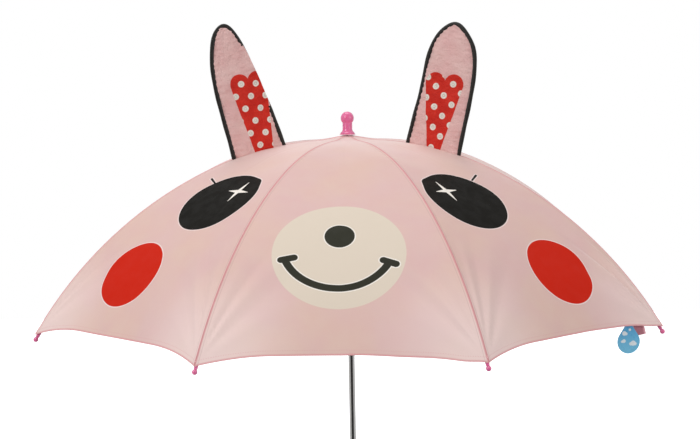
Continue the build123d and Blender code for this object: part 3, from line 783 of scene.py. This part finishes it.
def tag_material():
    """Blue swing tag with pale clouds, and no lettering."""
    m = Nodes("tag_card")
    spot = m.node("ShaderNodeTexCoord").outputs["Object"]
    low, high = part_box("swing_tag")
    eye = Vector(((low.x + high.x) / 2, (low.y + high.y) / 2, high.z))
    gap = m.vector("SUBTRACT", spot, eye)
    made = m.node("ShaderNodeCombineXYZ")
    m.feed(made.inputs[0], m.vector("DOT_PRODUCT", gap, Vector(sideways(TAG_AZIMUTH))))
    m.feed(made.inputs[1], m.vector("DOT_PRODUCT", gap, Vector((0, 0, 1))))
    place = made.outputs[0]
    _, y, _ = m.parts(place)
    colour = m.mix(m.ramp(y, -34 * MM, 0.0), srgb("7CCDF2"), srgb("55ADE2"))
    for x, z, size in (
        (-5.5, -13, 2.6), (-3.2, -13.6, 1.8), (5.5, -25, 3.0), (2.6, -25.6, 2.0),
        (8.0, -25.8, 1.9), (-6.0, -22, 2.2), (-8.2, -22.5, 1.5), (1.5, -9, 1.5),
    ):
        cloud = m.inside(m.disc(place, (x * MM, z * MM), size * MM), 0.35 * MM)
        colour = m.mix(m.math("MULTIPLY", cloud, 0.9), colour, srgb("F3FAFD"))
    m.set(
        Base_Color=colour,
        Roughness=m.ramp(m.noise(place, 200.0, 3.0), 0.3, 0.7, 0.25, 0.35),
        Normal=m.bump(m.noise(place, 400.0, 3.0), 0.05, 0.1 * MM),
        Coat_Weight=0.5,
        Coat_Roughness=0.1,
    )
    return m.material


HOT_PINK = plastic_material("hot_pink_plastic", srgb("E8699F"), srgb("EE7BAC"), 0.22, 0.25)
WHITE_PLASTIC = plastic_material("white_plastic", srgb("E9E7E2"), srgb("F2F0EC"), 0.35)
CHROME = metal_material("chrome", (0.62, 0.61, 0.60, 1), (0.56, 0.55, 0.54, 1), 0.10, drawn=0.3)
STEEL = metal_material("rib_steel", (0.50, 0.50, 0.51, 1), (0.40, 0.40, 0.42, 1), 0.30, drawn=1.0)
PIPING = band_material("black_binding", srgb("15130F"), srgb("23201C"), 0.55)
STRAP = band_material("strap_cloth", srgb("B97483"), srgb("C68492"), 0.6)
STRAP_EDGE = band_material("strap_edge", srgb("E9A7B0"), srgb("EFB7BD"), 0.6)
NYLON = plastic_material("tag_nylon", srgb("E6E6E6"), srgb("F0F0F0"), 0.3)
WASHER_PINK = plastic_material("pink_washer", srgb("F0A9C0"), srgb("F4B6CA"), 0.35)


# ---------------------------------------------------------------- turned pieces


def turned(name, profile, centre, axis, material, segments):
    """Solid of revolution.  The profile is (along the axis, radius), closed at both ends."""
    axis = Vector(axis).normalized()
    turn = Vector((0, 0, 1)).rotation_difference(axis).to_matrix().to_4x4()
    place = Matrix.Translation(Vector(centre)) @ turn
    angles = [2 * math.pi * step / segments for step in range(segments)]
    rings = [
        [place @ Vector((radius * math.cos(a), radius * math.sin(a), along)) for a in angles]
        for along, radius in profile
    ]
    return closed_tube(name, rings, material)


def ball(start, centre, radius, steps=14):
    """Profile of a ball from a distance before its centre to its far pole."""
    first = math.acos(max(-1.0, min(1.0, (start - centre) / radius)))
    last = 0.06
    return [
        (centre + radius * math.cos(a), radius * math.sin(a))
        for a in np.linspace(first, last, steps)
    ]


def make_finial():
    low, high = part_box("finial")
    length, flare = high.z - low.z, (high.x - low.x) / 2
    ball_radius, neck = 8.4 * MM, 6.3 * MM
    centre = length - ball_radius
    profile = [(0, flare * 0.55), (0, flare - 0.5 * MM), (0.4 * MM, flare), (1.4 * MM, flare)]
    for t in (0.15, 0.35, 0.6, 0.8, 1):
        profile.append((1.4 * MM + 4.4 * MM * t, neck + (flare - neck) * (1 - t) ** 2))
    rib_pitch = 1.9 * MM
    top = centre - math.sqrt(ball_radius**2 - (neck - 0.3 * MM) ** 2)
    along = 6.4 * MM
    while along < top - rib_pitch / 2:
        for share, rise in ((0.0, 0.0), (0.3, 0.28 * MM), (0.6, 0.28 * MM), (0.9, 0.0)):
            profile.append((along + share * rib_pitch, neck - 0.3 * MM + rise))
        along += rib_pitch
    profile += ball(top + 0.2 * MM, centre, ball_radius, 18)
    piece = turned("finial_cap", profile, (0, 0, low.z), (0, 0, 1), HOT_PINK, 72)
    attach(piece, "shaft_assembly")
    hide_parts("finial")


def cap_axis(number):
    """Where a rib's tip cap starts, its direction and its length, from the CAD cap."""
    mesh = frame["nodes"][f"rib_tip_{number}"].data
    points = np.array([vertex.co for vertex in mesh.vertices])
    out = radial(rib_azimuth(number))
    middle = points.mean(0)
    _, _, axes = np.linalg.svd(points - middle)
    along = axes[0] if axes[0] @ out > 0 else -axes[0]
    along = along - (along @ sideways(rib_azimuth(number))) * sideways(rib_azimuth(number))
    along /= np.linalg.norm(along)
    places = (points - middle) @ along
    start = middle + along * places.min()
    return start, along, places.max() - places.min()


def make_tip_caps():
    sleeve, neck, bead = 2.2 * MM, 1.75 * MM, 3.0 * MM
    for number in range(1, RIBS + 1):
        start, along, length = cap_axis(number)
        centre = length - bead
        back = -3 * MM
        profile = [(back, sleeve * 0.7), (back, sleeve - 0.2 * MM)]
        profile += [(back + 0.25 * MM, sleeve), (3.6 * MM, sleeve)]
        profile += [(4.6 * MM, neck + 0.1 * MM), (5.6 * MM, neck)]
        profile += ball(centre - math.sqrt(bead**2 - neck**2) + 0.1 * MM, centre, bead, 12)
        piece = turned(f"tip_cap_{number}", profile, start, along, HOT_PINK, 32)
        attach(piece, f"rib_end_{number}")
        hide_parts(f"rib_tip_{number}")


# ---------------------------------------------------------------- ears


def boxy(value):
    """Swells a sine or cosine, so that a round section comes out a little square."""
    return math.copysign(abs(value) ** 0.8, value)


class Ear:
    """One ear, drawn on the upright plane of its rib: x outwards, y up from the hinges."""

    def __init__(self, name):
        self.name = name
        self.rib = EAR_RIBS[name]
        self.out = radial(rib_azimuth(self.rib))
        self.side = sideways(rib_azimuth(self.rib))
        low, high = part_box(f"{name}_binding")
        self.top = high.z - HINGE_HEIGHT
        self.foot = low.z - HINGE_HEIGHT
        self.rim = self.trace(frame["nodes"][f"{name}_binding"].data)

    def trace(self, mesh):
        """The ear's outline, from its inner foot over the top to its outer foot."""
        tree = BVHTree.FromPolygons(
            [vertex.co for vertex in mesh.vertices], [face.vertices[:] for face in mesh.polygons]
        )

        def touch(start, direction):
            heading = Vector(direction[0] * self.out + direction[1] * UP)
            found = tree.ray_cast(Vector(self.world(np.array(start), np.array(0.0))), heading)[0]
            if found is None:
                return None
            return np.array([float(np.array(found) @ self.out), found.z - HINGE_HEIGHT])

        far = 0.25
        crown = self.top - 45 * MM
        levels = np.linspace(self.foot + 1 * MM, crown, 36)
        inner = [touch((0.0, level), (1, 0)) for level in levels]
        inner = [spot for spot in inner if spot is not None and spot[0] < inner[-1][0] + 1 * MM]
        outer = [touch((far, level), (-1, 0)) for level in levels[::-1]]
        middle = (inner[-1] + outer[0]) / 2
        arch = []
        for angle in np.linspace(math.pi, 0, 42)[1:-1]:
            heading = np.array([math.cos(angle), math.sin(angle)])
            arch.append(touch(middle + far * heading, -heading))
        rim = np.array([spot for spot in inner + arch + outer if spot is not None])
        rim = self.even(rim, 160)
        for _ in range(4):
            rim[1:-1] = 0.25 * rim[:-2] + 0.5 * rim[1:-1] + 0.25 * rim[2:]
        rim[[0, -1]] += 2 * (rim[[0, -1]] - rim[[1, -2]])
        return rim

    @staticmethod
    def even(line, count):
        """The same line with evenly spaced points."""
        run = np.concatenate([[0], np.cumsum(np.hypot(*np.diff(line, axis=0).T))])
        place = np.linspace(0, run[-1], count)
        return np.stack([np.interp(place, run, line[:, 0]), np.interp(place, run, line[:, 1])], -1)

    def world(self, flat, across):
        flat, across = np.asarray(flat), np.asarray(across)
        return (
            flat[..., :1] * self.out
            + (flat[..., 1:2] + HINGE_HEIGHT) * UP
            + across[..., None] * self.side
        )

    def build(self, lobes, first_dot, row, column):
        self.make_pad(ear_material(f"{self.name}_cloth", lobes, first_dot, row, column))
        self.make_piping()

    def make_pad(self, material):
        """Stuffed cloth inside the piping, drawn in by it into many small wrinkles."""
        rolled = self.rolled(self.rim)
        inset = (2.0 - 1.2 * rolled) * MM
        edge = self.rim + self.inward(self.rim) * inset[:, None]
        half = len(edge) // 2
        near, far = edge[:half], edge[::-1][:half]
        columns = 44
        t = 0.5 - 0.5 * np.cos(np.linspace(0, math.pi, columns))
        flat = near[:, None] * (1 - t)[None, :, None] + far[:, None] * t[None, :, None]
        width = np.hypot(*(far - near).T)[:, None]
        gap = np.minimum(t, 1 - t)[None, :] * width
        top_gap = np.hypot(*(flat - edge[half]).transpose(2, 0, 1))
        gap = np.minimum(gap, top_gap)
        run = np.linspace(0, 1, half)[:, None] * 0.19
        draw = np.random.default_rng(EAR_RIBS[self.name])
        fullness = (0.9 * MM + 1.5 * MM * smooth_step(gap, 0, 16 * MM))
        points = []
        for face in (1, -1):
            phase = draw.uniform(0, 2 * math.pi, 4)
            drift = 1.5 * np.sin(run / 0.017 + phase[0]) + 0.8 * np.sin(run / 0.009 + phase[1])
            side_sign = np.sign(t - 0.5)[None, :]
            gather = np.sin(2 * math.pi * run / 0.0075 + drift + side_sign * phase[2] + gap / 0.006)
            strength = np.exp(-gap / 0.016) * smooth_step(gap, 0, 3 * MM)
            relief = 0.7 * MM * gather * strength
            for size, amount in ((0.023, 1.7), (0.011, 1.1), (0.006, 0.45)):
                seed = draw.uniform(0, 100)
                values = [
                    noise.noise(Vector((x / size, y / size, seed)))
                    for x, y in (flat * (1.0, 0.75)).reshape(-1, 2)
                ]
                crumple = amount * MM * np.array(values).reshape(gap.shape)
                relief = relief + crumple * smooth_step(gap, 0, 4 * MM)
            points.append(self.world(flat, face * (fullness + relief)))
        name = self.name + "_cloth"
        piece, _ = closed_shell(name, points[0], points[1], material)
        store(piece, "cut", np.concatenate([np.dstack([flat, 0 * gap]).reshape(-1, 3)] * 2))
        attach(piece, f"rib_{self.rib}")
        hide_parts(self.name)

    def rolled(self, flat):
        """How far the piping has rolled to the back, from 0 to 1.  Only one edge of one ear has."""
        if self.name == "ear_right":
            return np.zeros(len(flat))
        inner = np.arange(len(flat)) < len(flat) / 2
        height = flat[:, 1]
        begun = smooth_step(height, 42 * MM, 58 * MM)
        ended = smooth_step(height, 118 * MM, 134 * MM)
        return begun * (1 - ended) * inner

    @staticmethod
    def inward(line):
        """Directions from the outline into the ear."""
        along = np.gradient(line, axis=0)
        along /= np.hypot(*along.T)[:, None]
        return np.stack([along[:, 1], -along[:, 0]], -1)

    def make_piping(self):
        wide, thick, around = 2.6 * MM, 2.2 * MM, 20
        rolled = self.rolled(self.rim)
        inward = self.inward(self.rim)
        line = self.rim + inward * (wide * (1 - 0.15 * rolled) + 0.3 * MM * rolled)[:, None]
        back = -self.outside_front() * 2.3 * MM * rolled
        draw = np.random.default_rng(10 + EAR_RIBS[self.name])
        uneven = 1 + 0.06 * np.sin(np.linspace(0, 60, len(line)) + draw.uniform(0, 6))
        rings = []
        for spot, into, depth, size in zip(line, inward, back, uneven):
            ring = []
            for step in range(around):
                angle = 2 * math.pi * step / around
                flat = spot + into * wide * size * boxy(math.cos(angle))
                across = depth + thick * boxy(math.sin(angle))
                ring.append(self.world(flat, np.array(across)))
            rings.append(ring)
        piece = closed_tube(self.name + "_piping", rings, PIPING)
        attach(piece, f"rib_{self.rib}")
        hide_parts(self.name + "_binding")

    def outside_front(self):
        """Which way across the ear its front faces."""
        return 1.0 if self.side[1] < 0 else -1.0


# ---------------------------------------------------------------- strap


def make_strap():
    """Folded closing strap that hangs from the hem beside one rib."""
    low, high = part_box("closure_strap")
    out, over = radial(STRAP_AZIMUTH), sideways(STRAP_AZIMUTH)
    centre = (np.array(low) + np.array(high)) / 2 - 3.5 * MM * UP
    wide, tall, thick, skew = 19.6 * MM, float(high.z - low.z), 1.6 * MM, 7 * MM
    s, t = np.meshgrid(np.linspace(-0.5, 0.5, 22), np.linspace(0, 1, 18))
    bow = 0.5 * MM * np.sin(math.pi * t) + 0.3 * MM * np.cos(2 * math.pi * s)
    across = s * wide + skew * t
    points = (
        centre
        + across[..., None] * over
        + ((0.5 - t) * tall)[..., None] * UP
        + (thick / 2 + bow)[..., None] * out
    )
    normals = np.cross(np.gradient(points, axis=0), np.gradient(points, axis=1))
    normals /= np.linalg.norm(normals, axis=-1, keepdims=True)
    if normals[8, 8] @ out < 0:
        normals = -normals
    paints = strap_material(), STRAP_EDGE
    piece = closed_sheet("closure_strap_cloth", points, normals, thick, paints)
    flat = np.dstack([s * wide, -t * tall, 0 * t])
    store(piece, "cut", np.concatenate([flat.reshape(-1, 3)] * 2))
    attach(piece, "rib_end_2")
    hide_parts("closure_strap")


def strap_material():
    """Mauve hook tape with a pink edge along one side and a row of stitches."""
    m = Nodes("strap_face")
    place = m.attribute("cut")
    x, y, _ = m.parts(place)
    spots = m.noise(place, 700.0, 3.0, 0.6)
    colour = m.mix(m.ramp(spots, 0.3, 0.7), srgb("A85F6C"), srgb("B87583"))
    colour = m.mix(m.ramp(x, 6.0 * MM, 7.0 * MM), colour, srgb("EBAAB4"))
    seam = m.line(x, 5.2 * MM, 0.25 * MM)
    thread = m.ramp(m.math("SINE", m.math("MULTIPLY", y, 2 * math.pi / (2.2 * MM))), -0.2, 0.3)
    colour = m.mix(m.math("MULTIPLY", seam, thread), colour, srgb("E3A3AD"))
    m.set(
        Base_Color=colour,
        Roughness=m.ramp(spots, 0.3, 0.7, 0.6, 0.75),
        Normal=m.bump(spots, 0.4, 0.3 * MM),
        Sheen_Weight=0.2,
    )
    return m.material


# ---------------------------------------------------------------- build

PRINTS = {8: print_front, 7: print_left_side, 1: print_right_side}


def make_canopy():
    plain = cloth_material("canopy_cloth"), cloth_material("canopy_inside", inside=True)
    for number in range(1, RIBS + 1):
        materials = plain
        if number in PRINTS:
            materials = (
                cloth_material(f"canopy_print_{number}", PRINTS[number]),
                cloth_material(f"canopy_print_{number}_inside", PRINTS[number], inside=True),
            )
        for side in (-1, 1):
            for zone in ("inner", "outer"):
                make_half_gore(number, side, zone, materials)


def make_ears():
    Ear("ear_right").build(
        (
            ((0.114, -0.030), (0.1214, 0.0746), 6 * MM, 13 * MM),
            ((0.114, -0.030), (0.1455, 0.0720), 4 * MM, 12.5 * MM),
        ),
        (0.0135, -0.0017), (0.0227, 0.0020), (0.0025, 0.0252),
    )
    Ear("ear_left").build(
        (
            ((0.107, -0.030), (0.1195, 0.0808), 9 * MM, 12.5 * MM),
            ((0.112, -0.030), (0.1420, 0.0767), 4 * MM, 12.5 * MM),
        ),
        (0.0209, 0.0054), (0.0193, -0.0008), (0.0054, 0.0304),
    )


def paint_frame():
    """Materials of the CAD nodes that stay in view."""
    paints = {
        "shaft": CHROME, "stop_pin": STEEL, "notch_wire": STEEL, "runner_wire": STEEL,
        "crown_washer": WASHER_PINK, "top_notch": WHITE_PLASTIC, "runner": WHITE_PLASTIC,
        "handle": HOT_PINK, "handle_collar": HOT_PINK, "top_catch": CHROME,
        "bottom_catch": CHROME, "tag_loop": NYLON, "swing_tag": tag_material(),
    }
    for name, node in frame["nodes"].items():
        if node.hide_render:
            continue
        node.data.materials.clear()
        node.data.materials.append(paints.get(name, STEEL))


# ---------------------------------------------------------------- studio

CAMERA_PLACE = Vector((0.05846, -1.97907, 0.61819))
CAMERA_TURN, CAMERA_DIP, CAMERA_ROLL = -0.02892, 0.09284, -0.01792
CAMERA_LENS = 79.92


def make_camera():
    turn, dip, roll = CAMERA_TURN, CAMERA_DIP, CAMERA_ROLL
    forward = Vector((math.sin(turn), math.cos(turn), 0)) * math.cos(dip)
    forward.z = -math.sin(dip)
    level = Vector((math.cos(turn), -math.sin(turn), 0))
    above = level.cross(forward)
    right = math.cos(roll) * level + math.sin(roll) * above
    up = math.cos(roll) * above - math.sin(roll) * level
    data = bpy.data.cameras.new("camera")
    data.lens = CAMERA_LENS
    data.clip_start = 0.05
    camera = bpy.data.objects.new("camera", data)
    bpy.context.scene.collection.objects.link(camera)
    facing = Matrix((right, up, -forward)).transposed().to_4x4()
    camera.matrix_world = Matrix.Translation(CAMERA_PLACE) @ facing
    bpy.context.scene.camera = camera


def area_light(name, place, size, energy, colour=(1, 1, 1)):
    data = bpy.data.lights.new(name, "AREA")
    data.shape = "DISK"
    data.size = size
    data.energy = energy
    data.color = colour
    light = bpy.data.objects.new(name, data)
    light.location = place
    aim = Vector((0, 0, 0.4)) - Vector(place)
    light.rotation_euler = aim.to_track_quat("-Z", "Y").to_euler()
    bpy.context.scene.collection.objects.link(light)


FLOOR_HALF = 1.4
FLOOR_BACK = 1.0


def make_floor():
    work = bmesh.new()
    bmesh.ops.create_grid(work, x_segments=1, y_segments=1, size=FLOOR_HALF)
    m = Nodes("studio_floor")
    spot = m.node("ShaderNodeTexCoord").outputs["Object"]
    m.set(
        Base_Color=m.mix(m.noise(spot, 3.0), (0.80, 0.80, 0.80, 1), (0.82, 0.82, 0.82, 1)),
        Roughness=m.ramp(m.noise(spot, 5.0), 0.3, 0.7, 0.85, 0.9),
        Emission_Color=(1, 1, 1, 1),
        Emission_Strength=m.node("ShaderNodeLightPath").outputs["Is Camera Ray"],
    )
    floor = shown("studio_floor", mesh_of("studio_floor", work), m.material)
    floor.location = (0, FLOOR_BACK, cad_box[0].z - 1 * MM)


def make_world():
    """White to the camera, a soft grey room to reflections, and even light on everything else."""
    world = bpy.data.worlds.new("studio")
    bpy.context.scene.world = world
    world.use_nodes = True
    tree = world.node_tree
    background = tree.nodes["Background"]
    path = tree.nodes.new("ShaderNodeLightPath")
    glossy = tree.nodes.new("ShaderNodeMix")
    glossy.data_type = "FLOAT"
    glossy.inputs["A"].default_value = 0.42
    direction = tree.nodes.new("ShaderNodeTexCoord").outputs["Generated"]
    split = tree.nodes.new("ShaderNodeSeparateXYZ")
    tree.links.new(direction, split.inputs[0])
    behind = tree.nodes.new("ShaderNodeMapRange")
    behind.interpolation_type = "SMOOTHSTEP"
    for socket, value in zip(behind.inputs[1:5], (-0.92, -0.35, 0.03, 0.75)):
        socket.default_value = value
    tree.links.new(split.outputs[1], behind.inputs[0])
    tree.links.new(behind.outputs[0], glossy.inputs["B"])
    tree.links.new(path.outputs["Is Glossy Ray"], glossy.inputs["Factor"])
    seen = tree.nodes.new("ShaderNodeMix")
    seen.data_type = "FLOAT"
    seen.inputs["B"].default_value = 1.0
    tree.links.new(path.outputs["Is Camera Ray"], seen.inputs["Factor"])
    tree.links.new(glossy.outputs["Result"], seen.inputs["A"])
    background.inputs["Color"].default_value = (1, 1, 1, 1)
    tree.links.new(seen.outputs["Result"], background.inputs["Strength"])


make_canopy()
make_ears()
make_finial()
make_tip_caps()
make_strap()
paint_frame()
make_camera()
make_floor()
make_world()
area_light("key", (-1.7, -1.8, 1.6), 1.0, 25)
area_light("fill", (1.9, -1.4, 0.9), 1.2, 12)
area_light("top", (-0.2, 0.3, 2.4), 1.4, 16)
bpy.context.scene.view_settings.view_transform = "Standard"
